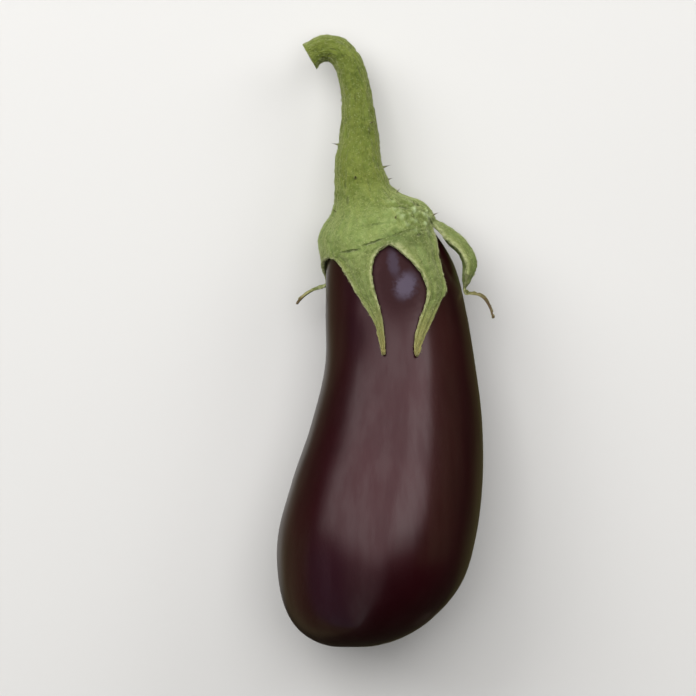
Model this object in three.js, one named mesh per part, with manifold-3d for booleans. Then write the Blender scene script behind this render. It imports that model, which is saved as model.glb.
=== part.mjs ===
// Eggplant as picked, lying on its back: a pear-shaped berry under a green calyx with five lobes,
// whose thick stalk arches over at its cut end.
// Millimetres, +Z up. The stalk points along +Y. A height is a distance along the fruit from its
// blossom end, and an angle goes round the fruit in degrees, from its upper side towards +X.

import * as THREE from 'three';
import { mergeVertices } from 'three/addons/utils/BufferGeometryUtils.js';
import Module from 'manifold-3d';

// The fruit's right and left edges, seen from above. The stations are evenly spaced in angle round
// a half circle from the blossom end to the top, so they lie close together at both ends.
const FRUIT_LENGTH = 187.7;
const FRUIT_RIGHT = [-12.5, 6, 21.6, 34, 40, 42.7, 42.5, 39.6, 36, 31, 21.8, 12, 0];
const FRUIT_LEFT = [-12.5, -28.4, -38.3, -42.8, -43.1, -37.2, -29, -23.4, -23.2, -22.9, -19.8, -12, 0];
const FRUIT_SIDES = 48;
const FRUIT_ROWS = 46;

// The fruit lies on its belly and on the calyx, so its axis sinks towards the stalk.
const BELLY_HEIGHT = 66;
const BELLY_FLATTENING = 0.7;
const AXIS_SLOPE = 0.111;

// The calyx's rim is a tilted ring round the fruit's shoulder, and the lobes meet at its notches.
const RIM_HEIGHT = 170.8;
const RIM_RISE_RIGHT = 7;
const RIM_FALL_UPPER = 3;
const NOTCH_ANGLES = [-65, 1.9, 73.5, 130, 215, 295];
const RIM_GAP = 0.6;
const LOBE_COLUMNS = 8;
const ROWS_PER_STATION = 2;

// A lobe's thickness at its middle and at its edges, at the rim and at the tip.
const MIDDLE_THICKNESS = { rim: 2.4, tip: 1 };
const EDGE_THICKNESS = { rim: 1.6, tip: 0.8 };

// The lobes in order round the fruit, each from its first station below the rim to its tip:
// distance below the rim, angle of its middle, half width, gap to the fruit, how much further its
// second edge stands off than its middle, and how much further its middle stands off than both
// edges. The last two are left out where they are nothing.
const LOBES = [
  [
    [1.5, -31.4, 11.2, 0.6], [4, -30.9, 8.5, 0.6], [10, -27.9, 5.6, 0.6], [18, -22.9, 3.75, 0.6],
    [28, -15.6, 2.2, 0.6], [38, -13.1, 1.25, 0.7], [44, -12.4, 0.5, 0.8],
  ],
  [
    [1.5, 37.9, 13.2, 0.6], [4, 36.8, 11.2, 0.6], [10, 35.1, 7.4, 0.6], [16, 36.2, 5.4, 0.6],
    [20.5, 37.1, 5, 0.6], [23.6, 37, 5.2, 0.6], [26.6, 34.2, 5, 0.6], [30, 28.3, 4.1, 0.6],
    [38, 18.3, 2.9, 0.6], [44, 13.5, 1.45, 0.7], [47.5, 12.4, 0.5, 0.8],
  ],
  [
    [3.4, 92, 9, 2.6, 0.3, 0.2], [6.5, 88, 7.7, 2.3, 0, 2.4], [10, 85, 6.1, 2.7, -1, 4.1],
    [14, 84, 5.2, 4, -0.9, 3.7], [18, 82.8, 4.7, 4.1, -1, 3.7], [21.5, 82, 3.6, 2.6, -0.8, 3.3],
    [24.3, 84, 2, 1.7, -0.8, 1.8], [26.8, 85.5, 1, 0.8], [29.8, 86, 0.6, 0.9],
    [30.4, 86, 0.45, 3.1], [31.4, 86, 0.45, 6], [33.4, 86, 0.4, 8.1], [37.4, 86, 0.4, 9.7],
    [41.4, 86, 0.4, 10.2],
  ],
  [
    [1.5, 171, 13.5, 0.6], [4, 171, 10.5, 0.6], [10, 170, 7.6, 0.6], [18, 169, 5.2, 0.6],
    [26, 172, 3.4, 0.6], [34, 176, 2, 0.7], [41, 180, 0.5, 0.9],
  ],
  [
    [1.5, 253, 12.5, 0.6], [4, 250, 10, 0.6], [8, 240, 8, 0.6], [12, 237, 5.8, 1],
    [14.6, 239, 4.2, 3.2], [15.4, 242, 3, 6.4], [16, 245, 2, 9.2], [18, 248, 1.2, 12.2],
    [20.8, 250, 0.5, 14.6],
  ],
];

// The calyx's crown and the stalk, as round sections from the rim to the cut end: centre along X,
// height of the centre, radius, and angle that the section is turned in the plan view.
const STALK_SECTIONS = [
  [-1.5, 175.6, 25.1, 10], [-1.7, 180, 22.9, 10], [-2.5, 183.4, 19.9, 11], [-4.3, 186, 16.5, 11.5],
  [-6.1, 188.5, 13.8, 10.5], [-7.5, 192.3, 11.9, 8.5], [-8.3, 197, 11, 3], [-9.3, 203.5, 9.9, -2],
  [-9.1, 211, 8.7, -1], [-9.2, 220, 7.4, 2], [-9.7, 229, 6.6, 5], [-10.9, 236, 6.2, 12],
  [-12.6, 242.5, 6.1, 22], [-15.2, 247.8, 6, 38], [-18.8, 251.2, 5.9, 62], [-22.6, 251.8, 5.7, 90],
  [-26.4, 250.9, 5.7, 106], [-30, 248.2, 6.2, 120],
];
const CROWN_HEIGHT = 192;
const RIDGE_RELIEF = 0.02;
const RIDGE_ANGLE = 40;
const UNDER_ROWS = 7;

// Prickles grow on the crown and the stalk. Each has a place along the stalk, counted in sections
// from the rim, and an angle round it.
const PRICKLE_LENGTH = 3.4;
const PRICKLE_RADIUS = 0.55;
const PRICKLE_ROOT = 1.2;
const PRICKLE_SIDES = 5;
const SIDE_PRICKLES = [[0.4, 82], [5.7, 88], [6.75, 92]];
const SCATTERED_PRICKLES = 9;
const SCATTER_START = 20;
const SCATTER_REACH = 9;
const GOLDEN_TURN = 137.5;

const DEGREE = Math.PI / 180;

// Steps over which directions on a surface are taken, in stations, degrees and lobe widths, and
// the distance within which corners are one
const STATION_STEP = 0.01;
const ANGLE_STEP = 0.5;
const LOBE_STEP = 0.02;
const WELD = 1e-4;

// The fruit's skin
const stations = FRUIT_RIGHT.length - 1;
const outline = new THREE.CatmullRomCurve3(
  [...FRUIT_RIGHT, ...FRUIT_LEFT.slice(1, -1).reverse()].map((x) => new THREE.Vector3(x, 0, 0)),
  true,
  'catmullrom',
);

function edge(station) {
  const turn = station / (2 * stations);
  return outline.getPoint(turn - Math.floor(turn)).x;
}

function stationAt(height) {
  return (Math.acos(1 - 2 * height / FRUIT_LENGTH) / Math.PI) * stations;
}

function fruitRadius(station) {
  return (edge(station) - edge(-station)) / 2;
}

const bellyAxis = fruitRadius(stationAt(BELLY_HEIGHT)) - BELLY_FLATTENING;

function axisZ(height) {
  return bellyAxis - AXIS_SLOPE * (height - BELLY_HEIGHT);
}

function skinAt(station, angle) {
  const height = (FRUIT_LENGTH / 2) * (1 - Math.cos((Math.PI * station) / stations));
  const radius = fruitRadius(station);
  return new THREE.Vector3(
    (edge(station) + edge(-station)) / 2 + radius * Math.sin(angle * DEGREE),
    height,
    axisZ(height) + radius * Math.cos(angle * DEGREE),
  );
}

function skinNormal(station, angle) {
  const along = skinAt(station + STATION_STEP, angle).sub(skinAt(station - STATION_STEP, angle));
  const around = skinAt(station, angle + ANGLE_STEP).sub(skinAt(station, angle - ANGLE_STEP));
  return around.cross(along).normalize();
}

function aboveSkin(station, angle, gap) {
  return skinAt(station, angle).addScaledVector(skinNormal(station, angle), gap);
}

// A shape's corners welded, without the triangles that have shrunk to nothing
function welded(geometry) {
  const merged = mergeVertices(geometry, WELD);
  const index = merged.getIndex().array;
  const kept = [];
  for (let i = 0; i < index.length; i += 3) {
    const [a, b, c] = index.slice(i, i + 3);
    if (a !== b && b !== c && c !== a) kept.push(a, b, c);
  }
  merged.setIndex(kept);
  return merged;
}

// Meshes are collected as loose triangles, which are then welded
class Skin {
  constructor() {
    this.corners = [];
  }

  triangle(a, b, c) {
    this.corners.push(a, b, c);
  }

  // Faces between rows of points. They look outwards where the points of a row run anticlockwise,
  // seen along the rows.
  rows(rows, flipped = false) {
    for (let row = 1; row < rows.length; row += 1) {
      for (let column = 1; column < rows[row].length; column += 1) {
        const a = rows[row - 1][column - 1];
        const b = rows[row - 1][column];
        const c = rows[row][column];
        const d = rows[row][column - 1];
        if (flipped) {
          this.triangle(a, c, b);
          this.triangle(a, d, c);
        } else {
          this.triangle(a, b, c);
          this.triangle(a, c, d);
        }
      }
    }
  }

  fan(centre, row, flipped = false) {
    for (let column = 1; column < row.length; column += 1) {
      if (flipped) this.triangle(centre, row[column], row[column - 1]);
      else this.triangle(centre, row[column - 1], row[column]);
    }
  }

  geometry() {
    return welded(new THREE.BufferGeometry().setFromPoints(this.corners));
  }
}

function onFloor(point) {
  return point.setZ(Math.max(point.z, 0));
}

function makeFruit() {
  const rows = [];
  for (let row = 1; row < FRUIT_ROWS; row += 1) {
    const points = [];
    for (let side = 0; side <= FRUIT_SIDES; side += 1) {
      const angle = (360 * (side % FRUIT_SIDES)) / FRUIT_SIDES;
      points.push(onFloor(skinAt((stations * row) / FRUIT_ROWS, angle)));
    }
    rows.push(points);
  }
  const skin = new Skin();
  skin.rows(rows);
  skin.fan(skinAt(0, 0), rows[0], true);
  skin.fan(skinAt(stations, 0), rows.at(-1));
  return skin.geometry();
}

// The calyx
function rimHeight(angle) {
  return RIM_HEIGHT + RIM_RISE_RIGHT * Math.sin(angle * DEGREE) - RIM_FALL_UPPER * Math.cos(angle * DEGREE);
}

// One lobe as a function of its place along the lobe, in stations, and across it, from -1 to 1
class Lobe {
  constructor(order) {
    const first = NOTCH_ANGLES[order];
    const last = NOTCH_ANGLES[order + 1];
    const middle = [new THREE.Vector3(0, (first + last) / 2, (last - first) / 2)];
    const gaps = [new THREE.Vector3(RIM_GAP, 0, 0)];
    for (const [down, angle, halfWidth, gap, twist = 0, cup = 0] of LOBES[order]) {
      const radius = fruitRadius(stationAt(rimHeight(angle) - down)) + gap;
      middle.push(new THREE.Vector3(down, angle, halfWidth / radius / DEGREE));
      gaps.push(new THREE.Vector3(gap, twist, cup));
    }
    this.length = LOBES[order].length;
    this.middle = new THREE.CatmullRomCurve3(middle, false, 'catmullrom');
    this.gaps = new THREE.CatmullRomCurve3(gaps, false, 'catmullrom');
  }

  under(place, across) {
    const [down, angle, halfAngle] = this.middle.getPoint(place / this.length).toArray();
    const here = angle + across * halfAngle;
    const [gap, twist, cup] = this.gaps.getPoint(place / this.length).toArray();
    const out = gap + twist * across + cup * (1 - across * across);
    return aboveSkin(stationAt(rimHeight(here) - down), here, out);
  }

  normal(place, across) {
    if (place === 0) {
      const [, angle, halfAngle] = this.middle.getPoint(0).toArray();
      const here = angle + across * halfAngle;
      return skinNormal(stationAt(rimHeight(here)), here);
    }
    const end = Math.min(place + LOBE_STEP, this.length);
    const along = this.under(end, across).sub(this.under(place - LOBE_STEP, across));
    const side = this.under(place, across + LOBE_STEP).sub(this.under(place, across - LOBE_STEP));
    return along.cross(side).normalize();
  }

  over(place, across) {
    const share = place / this.length;
    const middle = THREE.MathUtils.lerp(MIDDLE_THICKNESS.rim, MIDDLE_THICKNESS.tip, share);
    const side = THREE.MathUtils.lerp(EDGE_THICKNESS.rim, EDGE_THICKNESS.tip, share);
    const thickness = side + (middle - side) * (1 - across * across);
    return onFloor(this.under(place, across).addScaledVector(this.normal(place, across), thickness));
  }
}

function columnPlaces() {
  return Array.from({ length: LOBE_COLUMNS + 1 }, (_, column) => (2 * column) / LOBE_COLUMNS - 1);
}

// Adds one lobe's upper and lower faces and the wall round its free edge
function addLobe(skin, lobe) {
  const over = [];
  const under = [];
  for (let row = 0; row <= lobe.length * ROWS_PER_STATION; row += 1) {
    const place = row / ROWS_PER_STATION;
    over.push(columnPlaces().map((across) => lobe.over(place, across)));
    under.push(columnPlaces().map((across) => lobe.under(place, across)));
  }
  skin.rows(over, true);
  skin.rows(under);
  const border = (rows) => [
    ...rows.map((row) => row[0]),
    ...rows.at(-1).slice(1),
    ...rows.map((row) => row.at(-1)).reverse().slice(1),
  ];
  skin.rows([border(over), border(under)], true);
}

function sectionPoint([x, height, radius, turn], angle) {
  const ridges = 1 + RIDGE_RELIEF * Math.cos(LOBES.length * (angle - RIDGE_ANGLE) * DEGREE);
  const right = radius * ridges * Math.sin(angle * DEGREE);
  const nearRim = Math.max((CROWN_HEIGHT - height) / (CROWN_HEIGHT - RIM_HEIGHT), 0);
  const fall = RIM_FALL_UPPER * nearRim * Math.cos(angle * DEGREE);
  return new THREE.Vector3(
    x + right * Math.cos(turn * DEGREE),
    height - fall + right * Math.sin(turn * DEGREE),
    axisZ(height) + radius * ridges * Math.cos(angle * DEGREE),
  );
}

// The line along the crown and the stalk that starts at a point of the rim
function stalkLine(start, angle) {
  const points = STALK_SECTIONS.map((section) => sectionPoint(section, angle));
  return new THREE.CatmullRomCurve3([start, ...points], false, 'catmullrom');
}

function addCrownAndStalk(skin, lobes) {
  const angles = [];
  const rim = [];
  const under = [];
  lobes.forEach((lobe, order) => {
    const [first, last] = [NOTCH_ANGLES[order], NOTCH_ANGLES[order + 1]];
    columnPlaces().slice(order === 0 ? 0 : 1).forEach((across) => {
      angles.push((first + last) / 2 + (across * (last - first)) / 2);
      rim.push(lobe.over(0, across));
      under.push(lobe.under(0, across));
    });
  });
  const steps = STALK_SECTIONS.length * ROWS_PER_STATION;
  const lines = rim.map((start, column) => stalkLine(start, angles[column]));
  const outside = [];
  for (let step = 0; step <= steps; step += 1) {
    outside.push(lines.map((line) => line.getPoint(step / steps)));
  }
  skin.rows(outside);
  const cut = STALK_SECTIONS.at(-1);
  skin.fan(new THREE.Vector3(cut[0], cut[1], axisZ(cut[1])), outside.at(-1));

  const inside = [under];
  for (let row = 1; row < UNDER_ROWS; row += 1) {
    inside.push(angles.map((angle) => {
      const rimStation = stationAt(rimHeight(angle));
      return aboveSkin(rimStation + ((stations - rimStation) * row) / UNDER_ROWS, angle, RIM_GAP);
    }));
  }
  skin.rows(inside, true);
  const top = skinAt(stations, 0);
  skin.fan(top.setY(top.y + RIM_GAP), inside.at(-1), true);
}

// A prickle on the stalk, its root sunk into it
function makePrickle(place, angle) {
  const at = (p, a) => {
    const points = STALK_SECTIONS.map((section) => sectionPoint(section, a));
    return new THREE.CatmullRomCurve3(points, false, 'catmullrom').getPoint(p / (points.length - 1));
  };
  const root = at(place, angle);
  const along = at(place + STATION_STEP, angle).sub(at(place - STATION_STEP, angle));
  const around = at(place, angle + ANGLE_STEP).sub(at(place, angle - ANGLE_STEP));
  const out = around.cross(along).normalize();
  const profile = [
    new THREE.Vector2(0, -PRICKLE_ROOT),
    new THREE.Vector2(PRICKLE_RADIUS, -PRICKLE_ROOT),
    new THREE.Vector2(PRICKLE_RADIUS, 0),
    new THREE.Vector2(0, PRICKLE_LENGTH),
  ];
  const prickle = new THREE.LatheGeometry(profile, PRICKLE_SIDES);
  const turned = new THREE.Quaternion().setFromUnitVectors(new THREE.Vector3(0, 1, 0), out);
  prickle.applyQuaternion(turned);
  prickle.translate(root.x, root.y, root.z);
  return prickle;
}

function makePrickles() {
  const places = [...SIDE_PRICKLES];
  for (let count = 0; count < SCATTERED_PRICKLES; count += 1) {
    places.push([1 + (count * SCATTER_REACH) / SCATTERED_PRICKLES, SCATTER_START + count * GOLDEN_TURN]);
  }
  return places.map(([place, angle]) => makePrickle(place, angle));
}

// Joining
const wasm = await Module();
wasm.setup();

function toSolid(geometry) {
  const bare = geometry.clone();
  bare.deleteAttribute('normal');
  bare.deleteAttribute('uv');
  const shape = welded(bare);
  return new wasm.Manifold(new wasm.Mesh({
    numProp: 3,
    vertProperties: new Float32Array(shape.getAttribute('position').array),
    triVerts: new Uint32Array(shape.getIndex().array),
  }));
}

function toGeometry(solid) {
  const mesh = solid.getMesh();
  const geometry = new THREE.BufferGeometry();
  geometry.setAttribute('position', new THREE.BufferAttribute(new Float32Array(mesh.vertProperties), 3));
  geometry.setIndex(new THREE.BufferAttribute(new Uint32Array(mesh.triVerts), 1));
  return geometry;
}

function makeCalyxAndStalk() {
  const skin = new Skin();
  const lobes = LOBES.map((_, order) => new Lobe(order));
  lobes.forEach((lobe) => addLobe(skin, lobe));
  addCrownAndStalk(skin, lobes);
  let solid = toSolid(skin.geometry());
  for (const prickle of makePrickles()) solid = solid.add(toSolid(prickle));
  return toGeometry(solid);
}

function makePiece(name, geometry, colour, roughness) {
  geometry.computeVertexNormals();
  const material = new THREE.MeshStandardMaterial({ color: colour, roughness, metalness: 0 });
  const mesh = new THREE.Mesh(geometry, material);
  mesh.name = name;
  return mesh;
}

const eggplant = new THREE.Group();
eggplant.add(makePiece('fruit', makeFruit(), 0x2a1420, 0.2));
eggplant.add(makePiece('calyx_and_stalk', makeCalyxAndStalk(), 0x7a8c48, 0.8));

// The origin is on the floor, below the middle of the whole outline
const box = new THREE.Box3().setFromObject(eggplant);
const middle = box.getCenter(new THREE.Vector3());
for (const piece of eggplant.children) piece.position.set(-middle.x, -middle.y, -box.min.z);

export default eggplant;
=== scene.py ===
import math
from functools import partial, reduce

import bmesh
import bpy
import numpy as np
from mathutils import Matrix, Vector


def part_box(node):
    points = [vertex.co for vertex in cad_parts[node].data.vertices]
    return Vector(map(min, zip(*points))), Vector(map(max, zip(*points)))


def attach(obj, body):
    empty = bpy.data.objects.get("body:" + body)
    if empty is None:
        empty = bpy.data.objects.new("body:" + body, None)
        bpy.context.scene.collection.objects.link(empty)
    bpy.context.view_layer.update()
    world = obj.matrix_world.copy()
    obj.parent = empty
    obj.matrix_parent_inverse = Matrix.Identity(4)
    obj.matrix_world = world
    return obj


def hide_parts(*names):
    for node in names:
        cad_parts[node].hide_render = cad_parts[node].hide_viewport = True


# Eggplant as picked, lying on its back: a glossy fruit under a green calyx with five lobes, whose
# stalk arches over at its cut end. The shapes are worked out in millimetres, and become metres
# where a mesh is made. A height is a distance along the fruit from its blossom end, and an angle
# goes round the fruit in degrees, from its upper side towards +X.

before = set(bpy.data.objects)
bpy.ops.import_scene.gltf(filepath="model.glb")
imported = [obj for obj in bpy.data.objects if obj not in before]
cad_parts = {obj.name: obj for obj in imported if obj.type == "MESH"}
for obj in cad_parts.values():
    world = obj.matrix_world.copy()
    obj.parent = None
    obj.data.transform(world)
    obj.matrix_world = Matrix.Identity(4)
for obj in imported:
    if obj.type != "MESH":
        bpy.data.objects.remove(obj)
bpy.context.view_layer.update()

MM = 0.001
DEGREE = math.pi / 180

# The fruit's right and left edges, seen from above, evenly spaced in angle round a half circle
FRUIT_LENGTH = 187.7
FRUIT_RIGHT = [-12.5, 6, 21.6, 34, 40, 42.7, 42.5, 39.6, 36, 31, 21.8, 12, 0]
FRUIT_LEFT = [-12.5, -28.4, -38.3, -42.8, -43.1, -37.2, -29, -23.4, -23.2, -22.9, -19.8, -12, 0]
BELLY_HEIGHT = 66
BELLY_FLATTENING = 0.7
AXIS_SLOPE = 0.111

# The calyx's tilted rim, and the notches in it between the lobes
RIM_HEIGHT = 170.8
RIM_RISE_RIGHT = 7
RIM_FALL_UPPER = 3
NOTCH_ANGLES = [-65, 1.9, 73.5, 130, 215, 295]
RIM_GAP = 0.6

# A lobe's thickness at the rim and at its tip
MIDDLE_THICKNESS = (2.4, 1)
EDGE_THICKNESS = (1.6, 0.8)

# The lobes, each from its first station below the rim to its tip: distance below the rim, angle
# of its middle, half width, gap to the fruit, how much further its second edge stands off than
# its middle, and how much further its middle stands off than both edges
LOBES = [
    [
        [1.5, -31.4, 11.2, 0.6, 0, 0], [4, -30.9, 8.5, 0.6, 0, 0], [10, -27.9, 5.6, 0.6, 0, 0],
        [18, -22.9, 3.75, 0.6, 0, 0], [28, -15.6, 2.2, 0.6, 0, 0], [38, -13.1, 1.25, 0.7, 0, 0],
        [44, -12.4, 0.5, 0.8, 0, 0],
    ],
    [
        [1.5, 37.9, 13.2, 0.6, 0, 0], [4, 36.8, 11.2, 0.6, 0, 0], [10, 35.1, 7.4, 0.6, 0, 0],
        [16, 36.2, 5.4, 0.6, 0, 0], [20.5, 37.1, 5, 0.6, 0, 0], [23.6, 37, 5.2, 0.6, 0, 0],
        [26.6, 34.2, 5, 0.6, 0, 0], [30, 28.3, 4.1, 0.6, 0, 0], [38, 18.3, 2.9, 0.6, 0, 0],
        [44, 13.5, 1.45, 0.7, 0, 0], [47.5, 12.4, 0.5, 0.8, 0, 0],
    ],
    [
        [3.4, 92, 9, 2.6, 0.3, 0.2], [6.5, 88, 7.7, 2.3, 0, 2.4], [10, 85, 6.1, 2.7, -1, 4.1],
        [14, 84, 5.2, 4, -0.9, 3.7], [18, 82.8, 4.7, 4.1, -1, 3.7],
        [21.5, 82, 3.6, 2.6, -0.8, 3.3], [24.3, 84, 2, 1.7, -0.8, 1.8],
        [26.8, 85.5, 1, 0.8, 0, 0], [29.8, 86, 0.6, 0.9, 0, 0], [30.4, 86, 0.45, 3.1, 0, 0],
        [31.4, 86, 0.45, 6, 0, 0], [33.4, 86, 0.4, 8.1, 0, 0], [37.4, 86, 0.4, 9.7, 0, 0],
        [41.4, 86, 0.4, 10.2, 0, 0],
    ],
    [
        [1.5, 171, 13.5, 0.6, 0, 0], [4, 171, 10.5, 0.6, 0, 0], [10, 170, 7.6, 0.6, 0, 0],
        [18, 169, 5.2, 0.6, 0, 0], [26, 172, 3.4, 0.6, 0, 0], [34, 176, 2, 0.7, 0, 0],
        [41, 180, 0.5, 0.9, 0, 0],
    ],
    [
        [1.5, 253, 12.5, 0.6, 0, 0], [4, 250, 10, 0.6, 0, 0], [8, 240, 8, 0.6, 0, 0],
        [12, 237, 5.8, 1, 0, 0], [14.6, 239, 4.2, 3.2, 0, 0], [15.4, 242, 3, 6.4, 0, 0],
        [16, 245, 2, 9.2, 0, 0], [18, 248, 1.2, 12.2, 0, 0], [20.8, 250, 0.5, 14.6, 0, 0],
    ],
]

# How each lobe ages towards its tip, in its stations: where it begins to yellow, and where it
# begins and ends to turn brown
LOBE_AGEING = [(4, 6.8, 7.5), (7, 10.3, 11.4), (6, 9, 13), (5, 6.4, 7.2), (5.6, 7.4, 8.6)]

# Creases in the upper side of the calyx, sunk by a bump and painted dark as shade, each by its
# middle and its angle in the plan view, half length and depth
CREASES = [
    (-13, 165.9, 9, 5.4, 1), (-3.4, 169.5, 19, 6.4, 1), (9, 173.6, 17, 9, 0.4), (-3, 177, 8, 10, 0.3),
    (16, 172.8, 30, 1.3, 1), (21, 178.5, -60, 3, 0.9), (9.4, 184.2, -15, 3, 0.8),
    (14.5, 186, -35, 3, 0.7), (2.5, 190, -55, 4, 0.5),
]
CREASE_HALF_WIDTH = 0.65
WARTY_SHOULDER = (15, 183.5, 41)

# The crown and the stalk from the rim to the cut end: centre along X, height of the centre,
# radius, and angle that the section is turned in the plan view
STALK_SECTIONS = [
    [-1.5, 175.6, 25.1, 10], [-1.7, 180, 22.9, 10], [-2.5, 183.4, 19.9, 11],
    [-4.3, 186, 16.5, 11.5], [-6.1, 188.5, 13.8, 10.5], [-7.5, 192.3, 11.9, 8.5],
    [-8.3, 197, 11, 3], [-9.3, 203.5, 9.9, -2], [-9.1, 211, 8.7, -1], [-9.2, 220, 7.4, 2],
    [-9.7, 229, 6.6, 5], [-10.9, 236, 6.2, 12], [-12.6, 242.5, 6.1, 22], [-15.2, 247.8, 6, 38],
    [-18.8, 251.2, 5.9, 62], [-22.6, 251.8, 5.7, 90], [-26.4, 250.9, 5.7, 106],
    [-30, 248.2, 6.2, 120],
]
CROWN_HEIGHT = 192
RIDGE_RELIEF = 0.02
RIDGE_ANGLE = 40

# Prickles: place along the stalk, counted in sections from the rim, and angle round it. The
# scattered ones turn by the same angle from each to the next, over the first sections.
SIDE_PRICKLES = [(0.4, 82), (5.7, 88), (6.75, 92)]
SCATTERED_PRICKLES = 9
SCATTER_START = 20
SCATTER_REACH = 9
GOLDEN_TURN = 137.5


# Smooth curves

def through(values, places, closed=False):
    """The smooth curve through a row of values, at places counted along the row."""
    values = np.asarray(values, float)
    places = np.asarray(places, float)
    count = len(values)
    first = np.floor(places).astype(int)
    if closed:
        before, start, end, after = (values[(first + step) % count] for step in (-1, 0, 1, 2))
    else:
        first = np.clip(first, 0, count - 2)
        longer = np.concatenate([[2 * values[0] - values[1]], values, [2 * values[-1] - values[-2]]])
        before, start, end, after = (longer[first + step] for step in range(4))
    share = (places - first).reshape(places.shape + (1,) * (values.ndim - 1))
    bend = 2 * before - 5 * start + 4 * end - after + share * (3 * (start - end) + after - before)
    return start + share / 2 * (end - before + share * bend)


def smooth_step(low, high, value):
    share = np.clip((value - low) / (high - low), 0, 1)
    return share * share * (3 - 2 * share)


def unit(vectors):
    return vectors / np.linalg.norm(vectors, axis=-1, keepdims=True)


# The fruit's skin as a formula

STATIONS = len(FRUIT_RIGHT) - 1
OUTLINE = FRUIT_RIGHT + FRUIT_LEFT[-2:0:-1]


def edge(station):
    return through(OUTLINE, station, closed=True)


def station_at(height):
    return np.arccos(1 - 2 * np.asarray(height) / FRUIT_LENGTH) / math.pi * STATIONS


def fruit_radius(station):
    return (edge(station) - edge(-station)) / 2


BELLY_AXIS = float(fruit_radius(station_at(BELLY_HEIGHT))) - BELLY_FLATTENING


def axis_z(height):
    return BELLY_AXIS - AXIS_SLOPE * (height - BELLY_HEIGHT)


def skin_at(station, angle):
    """A point of the fruit's skin: to the right, along the fruit, and up."""
    radius = fruit_radius(station)
    height = FRUIT_LENGTH / 2 * (1 - np.cos(math.pi * station / STATIONS))
    right = (edge(station) + edge(-station)) / 2 + radius * np.sin(angle * DEGREE)
    up = axis_z(height) + radius * np.cos(angle * DEGREE)
    return np.stack(np.broadcast_arrays(right, height, up), axis=-1)


def skin_normal(station, angle, step=0.01, turn=0.5):
    along = skin_at(station + step, angle) - skin_at(station - step, angle)
    around = skin_at(station, angle + turn) - skin_at(station, angle - turn)
    return unit(np.cross(around, along))


# The shapes' own frame is brought to the object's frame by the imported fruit's place
OUTLINE_SAMPLES = 4801
every_station = np.linspace(0, 2 * STATIONS, OUTLINE_SAMPLES)
fruit_low, fruit_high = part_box("fruit")
SHIFT = np.array([
    ((fruit_low.x + fruit_high.x) / MM - edge(every_station).min() - edge(every_station).max()) / 2,
    fruit_low.y / MM,
    0,
])


def in_frame(points):
    """Points of the shapes' own frame, in metres of the object's frame."""
    return (np.asarray(points) + SHIFT) * MM


def place_object(name, data):
    thing = bpy.data.objects.new(name, data)
    bpy.context.scene.collection.objects.link(thing)
    return thing


# Camera: straight above, as far off as a long lens sees the whole picture from

PICTURE_SIDE = 696
PIXEL_SIZE = 0.42
PICTURE_CENTRE = (-15.8, -3.3)
LENS = 400
FOCUS_HEIGHT = 32


def make_camera():
    lens = bpy.data.cameras.new("camera")
    lens.lens = LENS
    camera = place_object("camera", lens)
    distance = PICTURE_SIDE * PIXEL_SIZE * LENS / lens.sensor_width
    camera.location = np.array([*PICTURE_CENTRE, FOCUS_HEIGHT + distance]) * MM
    bpy.context.scene.camera = camera


make_camera()


# Node trees

SOCKETS = {
    "geometry": "NodeSocketGeometry",
    "number": "NodeSocketFloat",
    "count": "NodeSocketInt",
    "vector": "NodeSocketVector",
    "colour": "NodeSocketColor",
    "material": "NodeSocketMaterial",
}


def shown(sockets):
    """The sockets that a node has with its present settings."""
    return [socket for socket in sockets if socket.enabled]


class Nodes:
    """Adds nodes to one tree. An input is given the socket that feeds it, a number, or linear red,
    green and blue."""

    def __init__(self, tree):
        self.tree = tree

    def feed(self, socket, value):
        if isinstance(value, bpy.types.NodeSocket):
            self.tree.links.new(value, socket)
        elif socket.type == "RGBA":
            socket.default_value = (*value, 1)
        else:
            socket.default_value = value

    def add(self, kind, inputs=None, **settings):
        node = self.tree.nodes.new(kind)
        for name, value in settings.items():
            setattr(node, name, value)
        for name, value in (inputs or {}).items():
            self.feed(next(s for s in shown(node.inputs) if s.name == name), value)
        return node

    def out(self, kind, inputs=None, output=None, **settings):
        outputs = self.add(kind, inputs, **settings).outputs
        return outputs[output] if output else shown(outputs)[0]

    def row(self, kind, *values, **settings):
        """The output of a node whose inputs are given in their own order."""
        node = self.add(kind, **settings)
        for socket, value in zip(shown(node.inputs), values):
            self.feed(socket, value)
        return shown(node.outputs)[0]

    def math(self, operation, *values):
        return self.row("ShaderNodeMath", *values, operation=operation)

    def vector(self, operation, *values):
        return self.row("ShaderNodeVectorMath", *values, operation=operation)

    def plus(self, *values):
        return reduce(partial(self.math, "ADD"), values)

    def minus(self, *values):
        return reduce(partial(self.math, "SUBTRACT"), values)

    def times(self, *values):
        return reduce(partial(self.math, "MULTIPLY"), values)

    def parts(self, vector):
        return self.add("ShaderNodeSeparateXYZ", {"Vector": vector}).outputs

    def joined(self, x, y, z):
        return self.row("ShaderNodeCombineXYZ", x, y, z)

    def mix(self, share, first, second):
        return self.row("ShaderNodeMix", share, first, second, data_type="RGBA")

    def step(self, value, low, high, start=0.0, end=1.0):
        """A soft step: start where value is low, and end where it is high."""
        return self.out(
            "ShaderNodeMapRange",
            {"Value": value, "From Min": low, "From Max": high, "To Min": start, "To Max": end},
            interpolation_type="SMOOTHSTEP",
        )

    def fade(self, value, low, high):
        return self.step(value, low, high, 1.0, 0.0)

    def between(self, mask, start, end):
        return self.step(mask, 0.0, 1.0, start, end)

    def noise(self, vector, scale, detail=2.0, roughness=0.5):
        inputs = {"Vector": vector, "Scale": scale, "Detail": detail, "Roughness": roughness}
        return self.out("ShaderNodeTexNoise", inputs)

    def ripple(self, vector, scale, **texture):
        """Noise that goes above and below zero."""
        return self.minus(self.noise(vector, scale, **texture), 0.5)


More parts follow.
